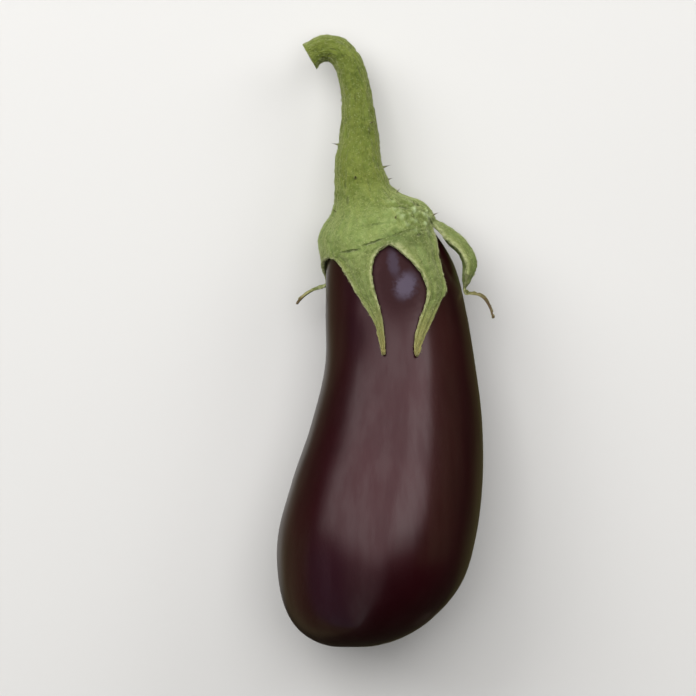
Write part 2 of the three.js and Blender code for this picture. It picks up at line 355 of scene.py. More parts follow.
def new_tree(name, kind, inputs, outputs):
    """A node tree, its nodes, its inputs and its end. Its sockets are named by their form."""
    tree = bpy.data.node_groups.new(name, kind)
    for side, forms in (("INPUT", inputs), ("OUTPUT", outputs)):
        for form, names in forms.items():
            for socket in names:
                tree.interface.new_socket(socket, in_out=side, socket_type=SOCKETS[form])
    start = tree.nodes.new("NodeGroupInput")
    end = tree.nodes.new("NodeGroupOutput")
    return tree, Nodes(tree), start.outputs, end.inputs


# Geometry trees

class Shaping(Nodes):
    """Adds nodes to a geometry tree."""

    def position(self):
        return self.out("GeometryNodeInputPosition")

    def read(self, name, form="FLOAT"):
        return self.out("GeometryNodeInputNamedAttribute", {"Name": name}, data_type=form)

    def store(self, skin, name, value):
        inputs = {"Geometry": skin, "Name": name, "Value": value}
        return self.out(
            "GeometryNodeStoreNamedAttribute", inputs, data_type="FLOAT", domain="POINT"
        )

    def random(self, low, high, seed, form="FLOAT"):
        inputs = {"Min": low, "Max": high, "Seed": seed}
        return self.out("FunctionNodeRandomValue", inputs, data_type=form)

    def cone(self, corners, segments, radius, length):
        return self.out("GeometryNodeMeshCone", {
            "Vertices": corners, "Side Segments": segments, "Radius Top": 0.0,
            "Radius Bottom": radius, "Depth": length,
        })

    def move(self, skin, place):
        return self.out("GeometryNodeSetPosition", {"Geometry": skin, "Position": place})

    def raised(self, skin, height):
        """The skin with each point moved out along its normal."""
        normal = self.out("GeometryNodeInputNormal")
        offset = self.vector("SCALE", normal, height)
        return self.out("GeometryNodeSetPosition", {"Geometry": skin, "Offset": offset})

    def above_floor(self, skin):
        place = self.parts(self.position())
        height = self.math("MAXIMUM", place["Z"], 0.0)
        return self.move(skin, self.joined(place["X"], place["Y"], height))

    def smooth(self, skin):
        return self.out("GeometryNodeSetShadeSmooth", {"Geometry": skin})

    def realized(self, skin):
        return self.out("GeometryNodeRealizeInstances", {"Geometry": skin})

    def finish(self, end, skin, material):
        skin = self.realized(skin)
        inputs = {"Geometry": skin, "Material": material}
        self.feed(end[0], self.out("GeometryNodeSetMaterial", inputs))


def new_shape(name, inputs, output):
    """A geometry tree that puts out one piece, with a material that it is given."""
    inputs = {**inputs, "material": ["Material"]}
    tree, _, given, end = new_tree(name, "GeometryNodeTree", inputs, {"geometry": [output]})
    return tree, Shaping(tree), given, end


def grow(name, source, tree, values):
    """The plain mesh that a geometry tree makes of a source object, which goes."""
    modifier = source.modifiers.new("shape", "NODES")
    modifier.node_group = tree
    for item in tree.interface.items_tree:
        if item.in_out == "INPUT" and item.name in values:
            modifier[item.identifier] = values[item.name]
    graph = bpy.context.evaluated_depsgraph_get()
    mesh = bpy.data.meshes.new_from_object(
        source.evaluated_get(graph), preserve_all_data_layers=True, depsgraph=graph
    )
    source.modifiers.remove(modifier)
    bpy.data.objects.remove(source)
    mesh.name = name
    return place_object(name, mesh)


def set_attributes(mesh, attributes):
    for name, values in attributes.items():
        values = np.asarray(values, np.float32)
        form, field = ("FLOAT_VECTOR", "vector") if values.ndim == 2 else ("FLOAT", "value")
        mesh.attributes.new(name, form, "POINT").data.foreach_set(field, values.ravel())


# Fruit: the tree turns the closed outline into rings from the blossom end to the top

FRUIT_ROWS_PER_STATION = 16
FRUIT_SIDES = 192
RING_WELD = 0.01


def make_outline_curve():
    curve = bpy.data.curves.new("fruit_outline", "CURVE")
    spline = curve.splines.new("POLY")
    spline.points.add(len(OUTLINE) - 1)
    for point, x in zip(spline.points, OUTLINE):
        point.co = (x * MM, 0, 0, 1)
    spline.use_cyclic_u = True
    return place_object("fruit_outline", curve)


def make_fruit_tree():
    tree, nodes, given, end = new_shape(
        "fruit turned from its two edges",
        {
            "geometry": ["Outline"],
            "count": ["Rows per station", "Stations", "Sides"],
            "number": [
                "Length", "Axis at blossom end", "Axis slope", "Wave height", "Flute height",
                "Dimple depth", "Dimple radius", "Scar depth", "Scar radius", "Weld distance",
            ],
            "vector": ["Shift", "Blossom end"],
        },
        "Fruit",
    )
    curve = nodes.out(
        "GeometryNodeCurveSplineType", {"Curve": given["Outline"]}, spline_type="CATMULL_ROM"
    )
    curve = nodes.out(
        "GeometryNodeSetSplineResolution",
        {"Geometry": curve, "Resolution": given["Rows per station"]},
    )
    edges = nodes.out("GeometryNodeCurveToPoints", {"Curve": curve}, mode="EVALUATED")
    rows = nodes.times(given["Rows per station"], given["Stations"])
    grid = nodes.out("GeometryNodeMeshGrid", {
        "Size X": 1.0, "Size Y": 1.0,
        "Vertices X": nodes.plus(given["Sides"], 1), "Vertices Y": nodes.plus(rows, 1),
    })
    across = nodes.parts(nodes.position())
    angle = nodes.times(nodes.plus(across["X"], 0.5), 2 * math.pi)
    row = nodes.math("ROUND", nodes.times(nodes.plus(across["Y"], 0.5), rows))

    def edge_at(index):
        inputs = {"Geometry": edges, "Value": nodes.parts(nodes.position())["X"], "Index": index}
        return nodes.out("GeometryNodeSampleIndex", inputs, data_type="FLOAT", domain="POINT")

    around = nodes.times(rows, 2)
    right = edge_at(row)
    left = edge_at(nodes.math("MODULO", nodes.minus(around, row), around))
    radius = nodes.times(nodes.minus(right, left), 0.5)
    centre = nodes.times(nodes.plus(right, left), 0.5)
    turn = nodes.math("COSINE", nodes.times(nodes.math("DIVIDE", row, rows), math.pi))
    half = nodes.times(given["Length"], 0.5)
    height = nodes.minus(half, nodes.times(half, turn))
    axis = nodes.minus(given["Axis at blossom end"], nodes.times(given["Axis slope"], height))
    place = nodes.joined(
        nodes.plus(centre, nodes.times(radius, nodes.math("SINE", angle))),
        height,
        nodes.plus(axis, nodes.times(radius, nodes.math("COSINE", angle))),
    )
    skin = nodes.move(grid, nodes.vector("ADD", place, given["Shift"]))
    weld = {"Geometry": skin, "Distance": given["Weld distance"]}
    skin = nodes.out("GeometryNodeMergeByDistance", weld)

    # Long shallow waves, faint lengthwise flutes, and the dimple with its ragged scar
    here = nodes.position()
    wave = nodes.ripple(nodes.vector("MULTIPLY", here, (1, 0.35, 1)), scale=26)
    flute = nodes.ripple(nodes.vector("MULTIPLY", here, (1, 0.06, 1)), scale=75, detail=1)
    away = nodes.vector("DISTANCE", here, given["Blossom end"])
    dimple = nodes.fade(away, 0.0, given["Dimple radius"])
    ragged = nodes.step(nodes.noise(here, scale=700), 0.2, 0.8, start=0.75, end=1.25)
    scar_heart = nodes.times(given["Scar radius"], 0.7)
    scar = nodes.fade(nodes.times(away, ragged), scar_heart, given["Scar radius"])
    lift = nodes.minus(
        nodes.plus(
            nodes.times(wave, given["Wave height"]),
            nodes.times(flute, given["Flute height"]),
        ),
        nodes.times(dimple, given["Dimple depth"]),
        nodes.times(scar, given["Scar depth"]),
    )
    skin = nodes.raised(nodes.store(skin, "scar", scar), lift)
    nodes.finish(end, nodes.smooth(nodes.above_floor(skin)), given["Material"])
    return tree


def make_fruit(material):
    values = {
        "Rows per station": FRUIT_ROWS_PER_STATION, "Stations": STATIONS, "Sides": FRUIT_SIDES,
        "Length": FRUIT_LENGTH * MM, "Axis at blossom end": float(axis_z(0)) * MM,
        "Axis slope": AXIS_SLOPE, "Shift": SHIFT * MM, "Weld distance": RING_WELD * MM,
        "Wave height": 1.2 * MM, "Flute height": 0.35 * MM, "Blossom end": in_frame(skin_at(0, 0)),
        "Dimple depth": 1.2 * MM, "Dimple radius": 9 * MM, "Scar depth": 0.25 * MM,
        "Scar radius": 4 * MM, "Material": material,
    }
    fruit = grow("glossy_fruit", make_outline_curve(), make_fruit_tree(), values)
    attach(fruit, "root")
    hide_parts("fruit")
    return fruit


# Calyx and stalk: a coarse cage of the same formula as the fruit's skin, which a tree smooths

LOBE_COLUMNS = 16
ROWS_PER_STATION = 4
WALL_ROWS = 3
UNDER_ROWS = 7
CUT_RINGS = [0.95, 0.82, 0.6, 0.36, 0.14, 0]
CUT_EDGE = 0.06
STRAND_RADIUS = 15
CAGE_WELD = 0.002
ACROSS = np.linspace(-1, 1, LOBE_COLUMNS + 1)

# Where the pale edge of a lobe, paler in itself and with a painted highlight along it, begins and is
# full: across it, and along it in stations
EDGE_ACROSS = (0.75, 0.95)
EDGE_ALONG = (0, 0.6)


def rim_height(angle):
    turned = angle * DEGREE
    return RIM_HEIGHT + RIM_RISE_RIGHT * np.sin(turned) - RIM_FALL_UPPER * np.cos(turned)


class Lobe:
    """One lobe by the place along it, in stations, and across it, from -1 to 1."""

    STEP = 0.02

    def __init__(self, order):
        first, last = NOTCH_ANGLES[order:order + 2]
        middle = [[0, (first + last) / 2, (last - first) / 2]]
        gaps = [[RIM_GAP, 0, 0]]
        for down, angle, half_width, gap, twist, cup in LOBES[order]:
            radius = fruit_radius(station_at(rim_height(angle) - down)) + gap
            middle.append([down, angle, half_width / radius / DEGREE])
            gaps.append([gap, twist, cup])
        self.middle = middle
        self.gaps = gaps
        self.length = len(LOBES[order])

    def rim_angle(self, across):
        _, angle, half_angle = self.middle[0]
        return angle + across * half_angle

    def under(self, place, across):
        """The face towards the fruit."""
        down, angle, half_angle = np.moveaxis(through(self.middle, place), -1, 0)
        gap, twist, cup = np.moveaxis(through(self.gaps, place), -1, 0)
        here = angle + across * half_angle
        station = station_at(rim_height(here) - down)
        out = (gap + twist * across + cup * (1 - across * across))[..., None]
        return skin_at(station, here) + skin_normal(station, here) * out

    def normal(self, place, across):
        later = np.minimum(place + self.STEP, self.length)
        along = self.under(later, across) - self.under(np.maximum(place - self.STEP, 0), across)
        side = self.under(place, across + self.STEP) - self.under(place, across - self.STEP)
        free = unit(np.cross(along, side))
        here = self.rim_angle(across)
        at_rim = skin_normal(station_at(rim_height(here)), here)
        return np.where((place == 0)[..., None], at_rim, free)

    def over(self, place, across):
        """The face away from the fruit."""
        share = place / self.length
        middle, side = (rim + (tip - rim) * share for rim, tip in (MIDDLE_THICKNESS, EDGE_THICKNESS))
        thickness = side + (middle - side) * (1 - across * across)
        return self.under(place, across) + self.normal(place, across) * thickness[..., None]


class Cage:
    """Grids of points that are welded where they touch, with notes for the finish at each point:
    strand, which runs along the growth, and masks."""

    MASKS = ("outside", "edge", "lobe", "across", "yellowing", "drying", "cut", "cut_ring")

    def __init__(self):
        self.points = []
        self.faces = []
        self.strands = []
        self.masks = {mask: [] for mask in self.MASKS}

    def grid(self, points, angles, along, flipped=False, **masks):
        rows, columns = points.shape[:2]
        start = sum(len(block) for block in self.points)
        index = start + np.arange(rows * columns).reshape(rows, columns)
        quads = np.stack([index[:-1, :-1], index[:-1, 1:], index[1:, 1:], index[1:, :-1]], axis=-1)
        if flipped:
            quads = quads[..., ::-1]
        self.faces += quads.reshape(-1, 4).tolist()
        self.points.append(points.reshape(-1, 3))
        turned = np.broadcast_to(angles, (rows, columns)) * DEGREE
        strand = [
            STRAND_RADIUS * np.cos(turned),
            STRAND_RADIUS * np.sin(turned),
            np.broadcast_to(along, (rows, columns)),
        ]
        self.strands.append(np.stack(strand, axis=-1).reshape(-1, 3) * MM)
        for mask, blocks in self.masks.items():
            blocks.append(np.broadcast_to(masks.get(mask, 0), (rows, columns)).ravel())

    def make_object(self, name):
        points = in_frame(np.concatenate(self.points))
        points[:, 2] = np.maximum(points[:, 2], 0)
        mesh = bpy.data.meshes.new(name)
        mesh.from_pydata(points.tolist(), [], self.faces)
        masks = {mask: np.concatenate(blocks) for mask, blocks in self.masks.items()}
        set_attributes(mesh, {"strand": np.concatenate(self.strands), **masks})
        welded = bmesh.new()
        welded.from_mesh(mesh)
        bmesh.ops.remove_doubles(welded, verts=welded.verts, dist=CAGE_WELD * MM)
        welded.to_mesh(mesh)
        welded.free()
        return place_object(name, mesh)


def add_lobe(cage, order, lobe):
    """Adds one lobe's upper and lower faces and the wall round its free edge."""
    place, across = np.meshgrid(
        np.arange(lobe.length * ROWS_PER_STATION + 1) / ROWS_PER_STATION, ACROSS, indexing="ij"
    )
    over, under = lobe.over(place, across), lobe.under(place, across)
    angles = lobe.rim_angle(across)
    along = -through(lobe.middle, place)[..., 0]
    yellow_from, dry_from, dry_to = LOBE_AGEING[order]
    ageing = {
        "yellowing": smooth_step(yellow_from, lobe.length, place),
        "drying": smooth_step(dry_from, dry_to, place),
    }
    masks = {
        "edge": smooth_step(*EDGE_ACROSS, np.abs(across)) * smooth_step(*EDGE_ALONG, place),
        "lobe": smooth_step(0, 2, place),
        "across": across,
    }
    cage.grid(over, angles, along, flipped=True, outside=1, **masks, **ageing)
    cage.grid(under, angles, along, **ageing)

    def border(values):
        return np.concatenate([values[:, 0], values[-1, 1:], values[-2::-1, -1]])

    share = np.linspace(0, 1, WALL_ROWS + 1)[:, None, None]
    wall = border(over) * (1 - share) + border(under) * share
    edges = {name: border(mask) for name, mask in ageing.items()}
    cage.grid(wall, border(angles), border(along), flipped=True, outside=1, edge=1, **edges)


def section_point(sections, angle):
    """Points of the crown and the stalk, by section and then by angle round it."""
    x, height, radius, turn = np.moveaxis(np.asarray(sections, float)[:, None, :], -1, 0)
    ridges = 1 + RIDGE_RELIEF * np.cos(len(LOBES) * (angle - RIDGE_ANGLE) * DEGREE)
    right = radius * ridges * np.sin(angle * DEGREE)
    near_rim = np.maximum((CROWN_HEIGHT - height) / (CROWN_HEIGHT - RIM_HEIGHT), 0)
    fall = RIM_FALL_UPPER * near_rim * np.cos(angle * DEGREE)
    return np.stack([
        x + right * np.cos(turn * DEGREE),
        height - fall + right * np.sin(turn * DEGREE),
        axis_z(height) + radius * ridges * np.cos(angle * DEGREE),
    ], axis=-1)


def add_crown_and_stalk(cage, lobes):
    angles, rim, under = [], [], []
    for order, lobe in enumerate(lobes):
        across = ACROSS if order == 0 else ACROSS[1:]
        at_rim = np.zeros_like(across)
        angles.append(lobe.rim_angle(across))
        rim.append(lobe.over(at_rim, across))
        under.append(lobe.under(at_rim, across))
    angles, rim, under = (np.concatenate(blocks) for blocks in (angles, rim, under))
    lines = np.concatenate([rim[None], section_point(STALK_SECTIONS, angles)])
    places = np.arange(len(STALK_SECTIONS) * ROWS_PER_STATION + 1) / ROWS_PER_STATION
    places = np.insert(places, -1, places[-1] - CUT_EDGE)
    outside = through(lines, places)
    steps = np.linalg.norm(np.diff(outside.mean(axis=1), axis=0), axis=-1)
    along = np.concatenate([[0], np.cumsum(steps)])[:, None]
    cage.grid(outside, angles, along, outside=1)

    # The cut end, closed by rings round its centre
    x, height = STALK_SECTIONS[-1][:2]
    centre = np.array([x, height, axis_z(height)])
    rings = np.array([1, *CUT_RINGS])[:, None]
    face = centre + (outside[-1] - centre) * rings[..., None]
    cage.grid(face, angles, along[-1], outside=1, cut=rings < 1, cut_ring=rings)

    # The inside of the cup, which follows the fruit's skin
    rim_station = station_at(rim_height(angles))
    rows = np.arange(UNDER_ROWS)[:, None] / UNDER_ROWS
    station = rim_station + (STATIONS - rim_station) * rows
    inside = skin_at(station, angles) + skin_normal(station, angles) * RIM_GAP
    inside[0] = under
    top = skin_at(STATIONS, 0) + np.array([0, RIM_GAP, 0])
    inside = np.concatenate([inside, np.broadcast_to(top, (1, len(angles), 3))])
    cage.grid(inside, angles, 0, flipped=True)


def make_calyx_cage():
    cage = Cage()
    lobes = [Lobe(order) for order in range(len(LOBES))]
    for order, lobe in enumerate(lobes):
        add_lobe(cage, order, lobe)
    add_crown_and_stalk(cage, lobes)
    return cage.make_object("calyx_cage")


def make_calyx_tree():
    tree, nodes, given, end = new_shape(
        "calyx smoothed and wrinkled",
        {
            "geometry": ["Cage"],
            "count": ["Smoothing"],
            "number": [
                "Swelling height", "Wrinkle height", "Rib height", "Fold depth", "Fold width",
                "Groove depth", "Shoulder radius", "Wart height", "Wart level",
            ],
            "vector": ["Shoulder"],
        },
        "Calyx",
    )
    cage = {"Mesh": given["Cage"], "Level": given["Smoothing"]}
    skin = nodes.out("GeometryNodeSubdivisionSurface", cage)
    here = nodes.position()
    swelling = nodes.ripple(here, scale=85)
    wrinkle = nodes.ripple(here, scale=340, detail=3)
    strand = nodes.read("strand", "FLOAT_VECTOR")
    rib = nodes.ripple(nodes.vector("MULTIPLY", strand, (1, 1, 0.08)), scale=260)

    # The warty shoulder: knobs where a cell's distance is under its level, and valleys past it
    cells = {"Vector": here, "Scale": 330.0, "Smoothness": 0.4}
    wart = nodes.out("ShaderNodeTexVoronoi", cells, feature="SMOOTH_F1")
    away = nodes.vector("DISTANCE", here, given["Shoulder"])
    warty = nodes.fade(away, nodes.times(given["Shoulder radius"], 0.3), given["Shoulder radius"])
    valley = nodes.times(nodes.step(wart, 0.4, 0.6), warty)
    knob_highlight = nodes.times(nodes.fade(wart, 0.15, 0.48), warty)

    # Folds all over, which are deepest on the shoulder
    crumple = nodes.math("ABSOLUTE", nodes.ripple(here, scale=125, detail=2.5, roughness=0.6))
    sharp_fold = nodes.fade(crumple, 0.0, given["Fold width"])
    fold = nodes.times(sharp_fold, nodes.between(warty, 0.4, 1.0))

    # A groove along each lobe on both sides of its middle
    beside = nodes.math("ABSOLUTE", nodes.read("across"))
    groove = nodes.times(nodes.step(beside, 0.25, 0.5), nodes.fade(beside, 0.5, 0.75))
    groove = nodes.times(groove, nodes.read("lobe"))

    # Folds and valleys between the warts, which the green material darkens as painted shade
    skin = nodes.store(skin, "crevice_shade", nodes.math("MAXIMUM", fold, valley))
    # Tops of the warts, which the green material lightens as a painted highlight
    skin = nodes.store(skin, "knob_highlight", knob_highlight)
    lift = nodes.minus(
        nodes.plus(
            nodes.times(swelling, given["Swelling height"]),
            nodes.times(wrinkle, given["Wrinkle height"]),
            nodes.times(rib, given["Rib height"]),
            nodes.times(nodes.minus(given["Wart level"], wart), given["Wart height"], warty),
        ),
        nodes.times(fold, given["Fold depth"]),
        nodes.times(groove, given["Groove depth"]),
    )
    uncut = nodes.times(nodes.read("outside"), nodes.minus(1.0, nodes.read("cut")))
    skin = nodes.above_floor(nodes.raised(skin, nodes.times(lift, uncut)))
    nodes.finish(end, nodes.smooth(skin), given["Material"])
    return tree


def make_calyx(material):
    values = {
        "Smoothing": 1, "Swelling height": 1.4 * MM, "Wrinkle height": 0.8 * MM,
        "Rib height": 0.65 * MM, "Fold depth": 0.9 * MM, "Fold width": 0.05,
        "Groove depth": 0.6 * MM, "Shoulder": in_frame(WARTY_SHOULDER),
        "Shoulder radius": 16 * MM, "Wart height": 2.2 * MM, "Wart level": 0.45,
        "Material": material,
    }
    calyx = grow("green_calyx_and_stalk", make_calyx_cage(), make_calyx_tree(), values)
    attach(calyx, "root")
    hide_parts("calyx_and_stalk")
    return calyx


# Prickles on the crown and the stalk

def prickle_places():
    step = SCATTER_REACH / SCATTERED_PRICKLES
    return SIDE_PRICKLES + [
        (1 + count * step, SCATTER_START + count * GOLDEN_TURN)
        for count in range(SCATTERED_PRICKLES)
    ]


def make_prickle_points(step=0.05, turn=1):
    """The places of the prickles on the stalk, each with the direction that it grows in."""
    def at(place, angle):
        return through(section_point(STALK_SECTIONS, np.array([float(angle)]))[:, 0], place)

    roots, outs = [], []
    for place, angle in prickle_places():
        along = at(place + step, angle) - at(place - step, angle)
        around = at(place, angle + turn) - at(place, angle - turn)
        roots.append(tuple(in_frame(at(place, angle))))
        outs.append(unit(np.cross(around, along)))
    mesh = bpy.data.meshes.new("prickle_points")
    mesh.from_pydata(roots, [], [])
    set_attributes(mesh, {"out": outs})
    return place_object("prickle_points", mesh)


# A cone's own length and a little more, so that no root is taken of a number under zero
PAST_TIP = 1.0001


def make_prickle_tree():
    tree, nodes, given, end = new_shape(
        "prickles on points",
        {
            "geometry": ["Points"],
            "number": ["Length", "Radius", "Root", "Bend", "Sharpness", "Smallest", "Largest"],
            "count": ["Seed"],
        },
        "Prickles",
    )
    whole = nodes.plus(given["Length"], given["Root"])
    thorn = nodes.cone(corners=10, segments=8, radius=given["Radius"], length=whole)
    place = nodes.parts(nodes.position())
    share = nodes.math("DIVIDE", place["Z"], whole)
    slim = nodes.math("POWER", nodes.minus(PAST_TIP, share), given["Sharpness"])
    lean = nodes.times(nodes.math("POWER", share, 2.0), given["Bend"])
    shaped = nodes.joined(
        nodes.plus(nodes.times(place["X"], slim), lean),
        nodes.times(place["Y"], slim),
        nodes.minus(place["Z"], given["Root"]),
    )
    thorn = nodes.move(nodes.store(thorn, "towards_tip", share), shaped)
    out = nodes.read("out", "FLOAT_VECTOR")
    prickles = nodes.out("GeometryNodeInstanceOnPoints", {
        "Points": given["Points"], "Instance": thorn,
        "Rotation": nodes.out("FunctionNodeAlignRotationToVector", {"Vector": out}, axis="Z"),
        "Scale": nodes.random(given["Smallest"], given["Largest"], given["Seed"]),
    })
    nodes.finish(end, nodes.smooth(prickles), given["Material"])
    return tree


def make_prickles(material):
    values = {
        "Length": 3.8 * MM, "Radius": 1.05 * MM, "Root": 1.2 * MM, "Bend": 0.8 * MM,
        "Sharpness": 1.3, "Smallest": 0.75, "Largest": 1.15, "Seed": 4, "Material": material,
    }
    prickles = grow("calyx_prickles", make_prickle_points(), make_prickle_tree(), values)
    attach(prickles, "root")
    return prickles


# Fuzz: tufts of three short hairs on the calyx and the stalk

HAIRS_IN_TUFT = 3
TUFT_LEAN = 0.5


def make_fuzz_tree():
    tree, nodes, given, end = new_shape(
        "fuzz of small tufts",
        {
            "geometry": ["Skin"],
            "number": [
                "Tufts per area", "Hair length", "Hair radius", "Spread", "Smallest", "Largest",
            ],
            "count": ["Seed"],
        },
        "Fuzz",
    )
    radius, length = given["Hair radius"], given["Hair length"]
    hair = nodes.cone(corners=3, segments=1, radius=radius, length=length)
    tuft = nodes.add("GeometryNodeJoinGeometry")
    for turn in range(HAIRS_IN_TUFT):
        rotation = nodes.joined(0.0, given["Spread"], turn * 2 * math.pi / HAIRS_IN_TUFT)
        ray = nodes.out("GeometryNodeTransform", {"Geometry": hair, "Rotation": rotation})
        nodes.feed(tuft.inputs[0], ray)
    uncut = nodes.times(nodes.read("outside"), nodes.minus(1.0, nodes.read("cut")))
    spread = nodes.add(
        "GeometryNodeDistributePointsOnFaces",
        {
            "Mesh": given["Skin"], "Density": nodes.times(uncut, given["Tufts per area"]),
            "Seed": given["Seed"],
        },
        distribute_method="RANDOM",
    ).outputs
    lean = (TUFT_LEAN, TUFT_LEAN, math.pi)
    tilt = nodes.random([-part for part in lean], lean, given["Seed"], "FLOAT_VECTOR")
    tilt = nodes.out("FunctionNodeEulerToRotation", {"Euler": tilt})
    rotation = nodes.out(
        "FunctionNodeRotateRotation",
        {"Rotation": spread["Rotation"], "Rotate By": tilt},
        rotation_space="LOCAL",
    )
    fuzz = nodes.out("GeometryNodeInstanceOnPoints", {
        "Points": spread["Points"], "Instance": tuft.outputs[0], "Rotation": rotation,
        "Scale": nodes.random(given["Smallest"], given["Largest"], given["Seed"]),
    })
    nodes.finish(end, nodes.above_floor(nodes.realized(fuzz)), given["Material"])
    return tree


def make_fuzz(calyx, material):
    source = place_object("fuzz_source", calyx.data.copy())
    values = {
        "Tufts per area": 0.5 / MM ** 2, "Hair length": 0.8 * MM, "Hair radius": 0.045 * MM,
        "Spread": 0.9, "Smallest": 0.55, "Largest": 1.2, "Seed": 11, "Material": material,
    }
    fuzz = grow("calyx_fuzz", source, make_fuzz_tree(), values)
    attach(fuzz, "root")
    return fuzz


# Effects that several materials use, as shader groups

def make_patches():
    """Two colours in soft patches."""
    tree, nodes, given, end = new_tree(
        "soft patches",
        "ShaderNodeTree",
        {
            "vector": ["Vector"], "number": ["Scale", "Contrast"],
            "colour": ["First", "Second"],
        },
        {"colour": ["Colour"], "number": ["Mask"]},
    )
    cloud = nodes.noise(given["Vector"], given["Scale"], detail=4, roughness=0.6)
    low = nodes.minus(0.5, given["Contrast"])
    high = nodes.plus(0.5, given["Contrast"])
    mask = nodes.step(cloud, low, high)
    nodes.feed(end["Colour"], nodes.mix(mask, given["First"], given["Second"]))
    nodes.feed(end["Mask"], mask)
    return tree


def make_specks():
    """Small round dots of uneven size."""
    tree, nodes, given, end = new_tree(
        "small specks",
        "ShaderNodeTree",
        {"vector": ["Vector"], "number": ["Scale", "Size", "Share"]},
        {"number": ["Mask"]},
    )
    inputs = {"Vector": given["Vector"], "Scale": given["Scale"]}
    cells = nodes.add("ShaderNodeTexVoronoi", inputs).outputs
    lot = nodes.out("ShaderNodeSeparateColor", {"Color": cells["Color"]})
    kept = nodes.math("LESS_THAN", lot, given["Share"])
    dot = nodes.fade(cells["Distance"], nodes.times(given["Size"], 0.4), given["Size"])
    nodes.feed(end["Mask"], nodes.times(dot, kept))
    return tree


def make_grain():
    """Fine relief from two sizes of grain."""
    tree, nodes, given, end = new_tree(
        "fine grain",
        "ShaderNodeTree",
        {"vector": ["Vector"], "number": ["Coarse scale", "Fine scale", "Height"]},
        {"vector": ["Normal"]},
    )
    coarse = nodes.noise(given["Vector"], given["Coarse scale"], detail=3)
    fine = nodes.noise(given["Vector"], given["Fine scale"], detail=3, roughness=0.6)
    grain = nodes.plus(nodes.times(coarse, 0.65), nodes.times(fine, 0.35))
    bump = {"Height": grain, "Distance": given["Height"]}
    nodes.feed(end["Normal"], nodes.out("ShaderNodeBump", bump))
    return tree


def make_mark():
    """A long soft mark in the plan view, with a ragged outline, on the upper side alone."""
    tree, nodes, given, end = new_tree(
        "long soft mark",
        "ShaderNodeTree",
        {
            "vector": ["Vector", "Centre"],
            "number": ["Turn", "Half length", "Half width", "Raggedness", "Lowest"],
        },
        {"number": ["Mask"]},
    )
    local = nodes.vector("SUBTRACT", given["Vector"], given["Centre"])
    turn = {"Vector": local, "Angle": nodes.times(given["Turn"], -DEGREE)}
    place = nodes.parts(nodes.out("ShaderNodeVectorRotate", turn, rotation_type="Z_AXIS"))
    ragged = nodes.times(nodes.ripple(given["Vector"], scale=600, detail=3), given["Raggedness"])
    along = nodes.math("DIVIDE", place["X"], given["Half length"])
    across = nodes.math("DIVIDE", nodes.plus(place["Y"], ragged), given["Half width"])
    squares = nodes.plus(nodes.math("POWER", along, 2.0), nodes.math("POWER", across, 2.0))
    mask = nodes.fade(nodes.math("SQRT", squares), 0.3, 1.0)
    upper = nodes.math("GREATER_THAN", nodes.parts(given["Vector"])["Z"], given["Lowest"])
    nodes.feed(end["Mask"], nodes.times(mask, upper))
    return tree


PATCHES = make_patches()
SPECKS = make_specks()
GRAIN = make_grain()
MARK = make_mark()

# How high a point has to lie to be on the upper side, where the marks are
MARK_LOWEST = 20


# Materials

class Finish(Nodes):
    """A material whose colour is painted in layers."""

    def __init__(self, name):
        self.material = bpy.data.materials.new(name)
        self.material.use_nodes = True
        super().__init__(self.material.node_tree)
        self.tree.nodes.clear()
        self.shader = self.add("ShaderNodeBsdfPrincipled")
        self.add("ShaderNodeOutputMaterial", {"Surface": self.shader.outputs["BSDF"]})

    def place(self):
        return self.out("ShaderNodeTexCoord", output="Object")

    def attribute(self, name, output="Fac"):
        return self.out("ShaderNodeAttribute", output=output, attribute_name=name)

    def patches(self, place, first, second, scale=900, contrast=0.2):
        inputs = {
            "Vector": place, "Scale": scale, "Contrast": contrast, "First": first, "Second": second,
        }
        return self.out("ShaderNodeGroup", inputs, "Colour", node_tree=PATCHES)

    def patch_mask(self, place, scale, contrast):
        inputs = {"Vector": place, "Scale": scale, "Contrast": contrast}
        return self.out("ShaderNodeGroup", inputs, "Mask", node_tree=PATCHES)

    def specks(self, place, scale, size, share):
        inputs = {"Vector": place, "Scale": scale, "Size": size, "Share": share}
        return self.out("ShaderNodeGroup", inputs, "Mask", node_tree=SPECKS)

    def grain(self, place, coarse, fine, height):
        inputs = {
            "Vector": place, "Coarse scale": coarse, "Fine scale": fine, "Height": height * MM,
        }
        return self.out("ShaderNodeGroup", inputs, "Normal", node_tree=GRAIN)

    def mark(self, place, x, height, turn, half_length, half_width, ragged):
        """A mask by its middle in the plan view, with its angle there and sizes in mm."""
        inputs = {
            "Vector": place, "Centre": in_frame([x, height, 0]), "Turn": turn,
            "Half length": half_length * MM, "Half width": half_width * MM,
            "Raggedness": ragged * MM, "Lowest": MARK_LOWEST * MM,
        }
        return self.out("ShaderNodeGroup", inputs, "Mask", node_tree=MARK)

    def painted(self, colour, *layers):
        """A colour under layers, each with its mask, the share of the mask that shows, and its
        own colour."""
        for mask, share, tint in layers:
            colour = self.mix(self.times(mask, share), colour, tint)
        return colour

    def shaded(self, colour, mask, factors):
        return self.mix(mask, colour, self.vector("MULTIPLY", colour, factors))

    def apply(self, values):
        for name, value in values.items():
            self.feed(self.shader.inputs[name], value)
        return self.material


